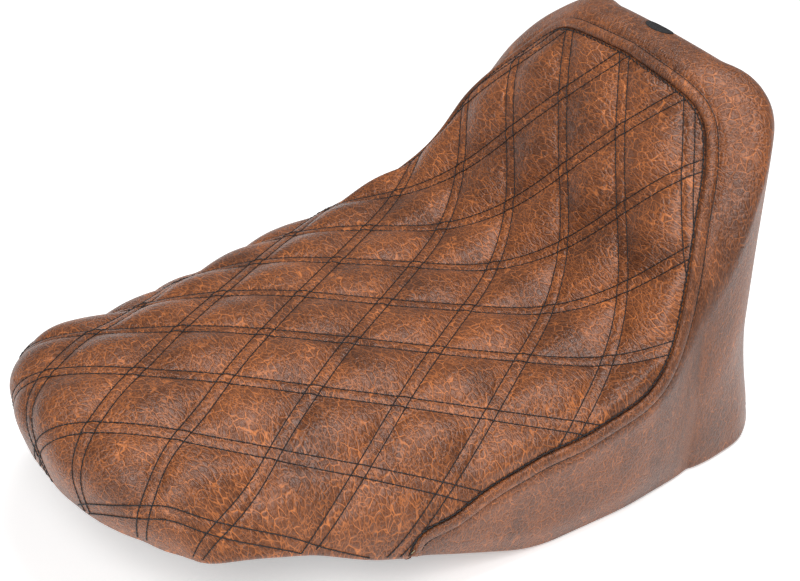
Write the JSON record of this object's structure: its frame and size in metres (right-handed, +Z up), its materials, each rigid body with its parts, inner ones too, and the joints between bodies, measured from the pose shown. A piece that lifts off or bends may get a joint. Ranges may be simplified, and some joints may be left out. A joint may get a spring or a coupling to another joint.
{
  "type": "motorcycle seat",
  "caption": "Stepped solo motorcycle seat: diamond-quilted panel over foam and a moulded pan, raised backrest bolster, steel brackets and a captive rear screw.",
  "frame": {"origin": "middle of the bounding box's base: on the centreline and on the surface that the seat stands on", "axes": "+X to the tail along the seat's length, -Y to the rider's left, +Z up"},
  "size_m": [0.555, 0.353, 0.2821],
  "materials": {
    "panel_vinyl": "distressed brown vinyl, satin, lighter orange-brown crackle",
    "band_vinyl": "distressed brown vinyl, satin, finer grain",
    "sew_foam": "soft plush foam",
    "moulded_foam": "moulded polyurethane foam with a skin",
    "pan_plastic": "black moulded plastic, fine texture",
    "zinc_steel": "zinc plated sheet steel",
    "rivet_steel": "plated steel, satin",
    "staple_steel": "galvanised wire",
    "screw_steel": "chrome plated, knurled",
    "nylon": "natural nylon",
    "bumper_rubber": "moulded black rubber"
  },
  "bodies": {
    "seat": {"quilted_panel": "panel_vinyl", "cover_band": "band_vinyl", "quilt_foam": "sew_foam", "seat_foam": "moulded_foam", "base_pan": "pan_plastic", "front_bracket": "zinc_steel", "rear_bracket": "zinc_steel", "front_backing_plate": "zinc_steel", "rear_backing_plate": "zinc_steel", "front_rivets": "rivet_steel", "rear_rivets": "rivet_steel", "cover_staples": "staple_steel", "bumper_1": "bumper_rubber", "bumper_2": "bumper_rubber", "bumper_3": "bumper_rubber", "bumper_4": "bumper_rubber", "bumper_5": "bumper_rubber", "bumper_6": "bumper_rubber"},
    "screw_washer": {"retaining_washer": "nylon"},
    "screw": {"seat_screw": "screw_steel"}
  },
  "joints": [
    {"name": "screw_lift", "type": "slide", "parent": "seat", "child": "screw_washer", "axis": [0, 0, 1], "range_m": [0, 0.006]},
    {"name": "screw_turn", "type": "hinge", "parent": "screw_washer", "child": "screw", "pos_m": [0.268, 0, 0.04], "axis": [0, 0, 1], "continuous": true}
  ]
}
